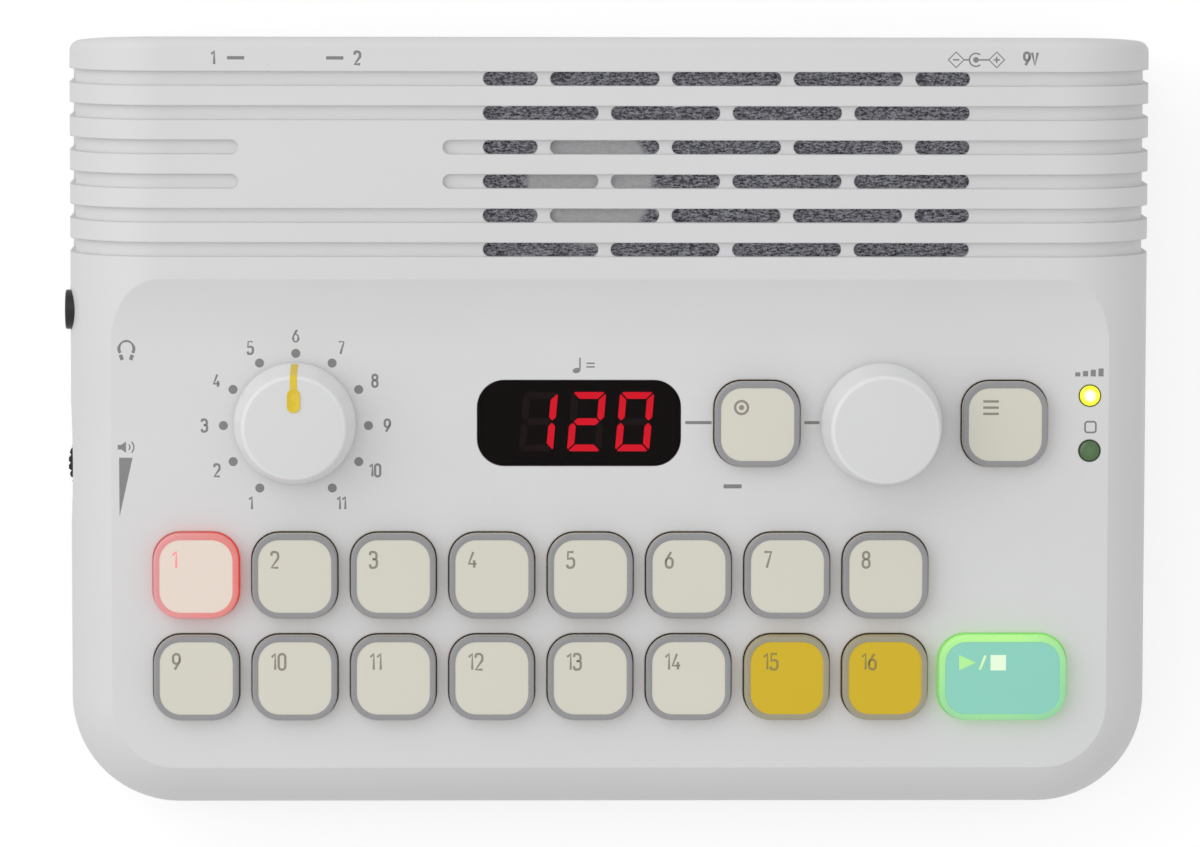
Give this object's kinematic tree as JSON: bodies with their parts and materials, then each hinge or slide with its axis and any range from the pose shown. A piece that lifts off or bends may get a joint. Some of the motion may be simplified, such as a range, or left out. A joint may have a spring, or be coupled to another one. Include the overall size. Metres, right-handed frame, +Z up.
{
  "type": "drum machine",
  "caption": "Table-top drum machine with a sloping panel of square pads, a rotary selector, a value dial, a digit display and a ribbed speaker grille.",
  "frame": {"origin": "on the table, under the middle of the case", "axes": "+X to the right of the player, +Y to the rear, +Z up"},
  "size_m": [0.2108, 0.1484, 0.063],
  "materials": {
    "case_plastic": "fine sparked white moulding",
    "rubber": "dark soft rubber",
    "steel": "plated steel",
    "board": "green solder mask",
    "key_plastic": "cream face in a clear grey ring",
    "key_yellow": "yellow face in a clear grey ring",
    "key_start": "green-lit face in a clear ring",
    "knob_plastic": "satin white",
    "pointer_plastic": "yellow inlay",
    "window_plastic": "smoked gloss window",
    "module_plastic": "black display body with red bars",
    "black_plastic": "satin black",
    "cloth": "dark felted cloth",
    "foam": "closed foam",
    "cone_paper": "pressed paper",
    "magnet": "plated ferrite and steel",
    "lamp_yellow": "lit yellow lens",
    "lamp_green": "unlit green lens",
    "cell": "plain sleeve",
    "ribbon": "grey flat cable",
    "lamp_chip": "small lamp"
  },
  "bodies": {
    "case": {"upper_case": "case_plastic", "lower_case": "case_plastic", "rubber_feet": "rubber", "case_screws": "steel", "battery_cells": "cell", "battery_contacts": "steel", "battery_springs": "steel", "speaker_cloth": "cloth", "speaker_gasket": "foam", "speaker_basket": "steel", "speaker_cone": "cone_paper", "speaker_magnet": "magnet", "speaker_screws": "steel", "panel_board": "board", "panel_screws": "steel", "main_board": "board", "main_screws": "steel", "ribbon_cable": "ribbon", "key_switches": "black_plastic", "key_lamps": "lamp_chip", "display_window": "window_plastic", "display_module": "module_plastic", "lamp_yellow": "lamp_yellow", "lamp_green": "lamp_green", "selector_switch": "black_plastic", "value_encoder": "black_plastic", "volume_pot": "black_plastic", "headphone_jack": "black_plastic", "headphone_collar": "black_plastic", "foot_jacks": "black_plastic", "power_jack": "black_plastic", "power_switch_body": "black_plastic"},
    "selector": {"selector_knob": "knob_plastic", "selector_pointer": "pointer_plastic", "selector_shaft": "steel"},
    "value_dial": {"value_dial": "knob_plastic", "value_shaft": "steel"},
    "volume_wheel": {"volume_wheel": "black_plastic"},
    "battery_door": {"battery_door": "case_plastic"},
    "power_lever": {"power_switch_lever": "black_plastic"},
    "pad_01": {"pad_01": "key_plastic"},
    "pad_02": {"pad_02": "key_plastic"},
    "pad_03": {"pad_03": "key_plastic"},
    "pad_04": {"pad_04": "key_plastic"},
    "pad_05": {"pad_05": "key_plastic"},
    "pad_06": {"pad_06": "key_plastic"},
    "pad_07": {"pad_07": "key_plastic"},
    "pad_08": {"pad_08": "key_plastic"},
    "pad_09": {"pad_09": "key_plastic"},
    "pad_10": {"pad_10": "key_plastic"},
    "pad_11": {"pad_11": "key_plastic"},
    "pad_12": {"pad_12": "key_plastic"},
    "pad_13": {"pad_13": "key_plastic"},
    "pad_14": {"pad_14": "key_plastic"},
    "pad_15": {"pad_15": "key_yellow"},
    "pad_16": {"pad_16": "key_yellow"},
    "start_stop_key": {"start_stop_key": "key_start"},
    "tap_key": {"tap_key": "key_plastic"},
    "mode_key": {"mode_key": "key_plastic"}
  },
  "joints": [
    {"name": "pad_01_press", "type": "slide", "parent": "case", "child": "pad_01", "axis": [0, 0.0872, -0.9962], "range_m": [0, 0.0012], "stiffness_N_per_m": 400, "springref_m": -0.0006},
    {"name": "pad_02_press", "type": "slide", "parent": "case", "child": "pad_02", "axis": [0, 0.0872, -0.9962], "range_m": [0, 0.0012], "stiffness_N_per_m": 400, "springref_m": -0.0006},
    {"name": "pad_03_press", "type": "slide", "parent": "case", "child": "pad_03", "axis": [0, 0.0872, -0.9962], "range_m": [0, 0.0012], "stiffness_N_per_m": 400, "springref_m": -0.0006},
    {"name": "pad_04_press", "type": "slide", "parent": "case", "child": "pad_04", "axis": [0, 0.0872, -0.9962], "range_m": [0, 0.0012], "stiffness_N_per_m": 400, "springref_m": -0.0006},
    {"name": "pad_05_press", "type": "slide", "parent": "case", "child": "pad_05", "axis": [0, 0.0872, -0.9962], "range_m": [0, 0.0012], "stiffness_N_per_m": 400, "springref_m": -0.0006},
    {"name": "pad_06_press", "type": "slide", "parent": "case", "child": "pad_06", "axis": [0, 0.0872, -0.9962], "range_m": [0, 0.0012], "stiffness_N_per_m": 400, "springref_m": -0.0006},
    {"name": "pad_07_press", "type": "slide", "parent": "case", "child": "pad_07", "axis": [0, 0.0872, -0.9962], "range_m": [0, 0.0012], "stiffness_N_per_m": 400, "springref_m": -0.0006},
    {"name": "pad_08_press", "type": "slide", "parent": "case", "child": "pad_08", "axis": [0, 0.0872, -0.9962], "range_m": [0, 0.0012], "stiffness_N_per_m": 400, "springref_m": -0.0006},
    {"name": "pad_09_press", "type": "slide", "parent": "case", "child": "pad_09", "axis": [0, 0.0872, -0.9962], "range_m": [0, 0.0012], "stiffness_N_per_m": 400, "springref_m": -0.0006},
    {"name": "pad_10_press", "type": "slide", "parent": "case", "child": "pad_10", "axis": [0, 0.0872, -0.9962], "range_m": [0, 0.0012], "stiffness_N_per_m": 400, "springref_m": -0.0006},
    {"name": "pad_11_press", "type": "slide", "parent": "case", "child": "pad_11", "axis": [0, 0.0872, -0.9962], "range_m": [0, 0.0012], "stiffness_N_per_m": 400, "springref_m": -0.0006},
    {"name": "pad_12_press", "type": "slide", "parent": "case", "child": "pad_12", "axis": [0, 0.0872, -0.9962], "range_m": [0, 0.0012], "stiffness_N_per_m": 400, "springref_m": -0.0006},
    {"name": "pad_13_press", "type": "slide", "parent": "case", "child": "pad_13", "axis": [0, 0.0872, -0.9962], "range_m": [0, 0.0012], "stiffness_N_per_m": 400, "springref_m": -0.0006},
    {"name": "pad_14_press", "type": "slide", "parent": "case", "child": "pad_14", "axis": [0, 0.0872, -0.9962], "range_m": [0, 0.0012], "stiffness_N_per_m": 400, "springref_m": -0.0006},
    {"name": "pad_15_press", "type": "slide", "parent": "case", "child": "pad_15", "axis": [0, 0.0872, -0.9962], "range_m": [0, 0.0012], "stiffness_N_per_m": 400, "springref_m": -0.0006},
    {"name": "pad_16_press", "type": "slide", "parent": "case", "child": "pad_16", "axis": [0, 0.0872, -0.9962], "range_m": [0, 0.0012], "stiffness_N_per_m": 400, "springref_m": -0.0006},
    {"name": "start_stop_key_press", "type": "slide", "parent": "case", "child": "start_stop_key", "axis": [0, 0.0872, -0.9962], "range_m": [0, 0.0012], "stiffness_N_per_m": 400, "springref_m": -0.0006},
    {"name": "tap_key_press", "type": "slide", "parent": "case", "child": "tap_key", "axis": [0, 0.0872, -0.9962], "range_m": [0, 0.0012], "stiffness_N_per_m": 400, "springref_m": -0.0006},
    {"name": "mode_key_press", "type": "slide", "parent": "case", "child": "mode_key", "axis": [0, 0.0872, -0.9962], "range_m": [0, 0.0012], "stiffness_N_per_m": 400, "springref_m": -0.0006},
    {"name": "selector_turn", "type": "hinge", "parent": "case", "child": "selector", "pos_m": [-0.061, -0.00048, 0.05327], "axis": [0, -0.0872, 0.9962], "range_deg": [-150, 150]},
    {"name": "value_dial_turn", "type": "hinge", "parent": "case", "child": "value_dial", "pos_m": [0.0524, -0.00063, 0.05502], "axis": [0, -0.0872, 0.9962], "continuous": true},
    {"name": "volume_turn", "type": "hinge", "parent": "case", "child": "volume_wheel", "pos_m": [-0.09645, -0.00776, 0.03206], "axis": [0, -0.0872, 0.9962], "range_deg": [-135, 135]},
    {"name": "battery_door_slide", "type": "slide", "parent": "case", "child": "battery_door", "axis": [0, 1, 0], "range_m": [0, 0.056]},
    {"name": "power_switch_slide", "type": "slide", "parent": "case", "child": "power_lever", "axis": [1, 0, 0], "range_m": [0, 0.004]}
  ]
}
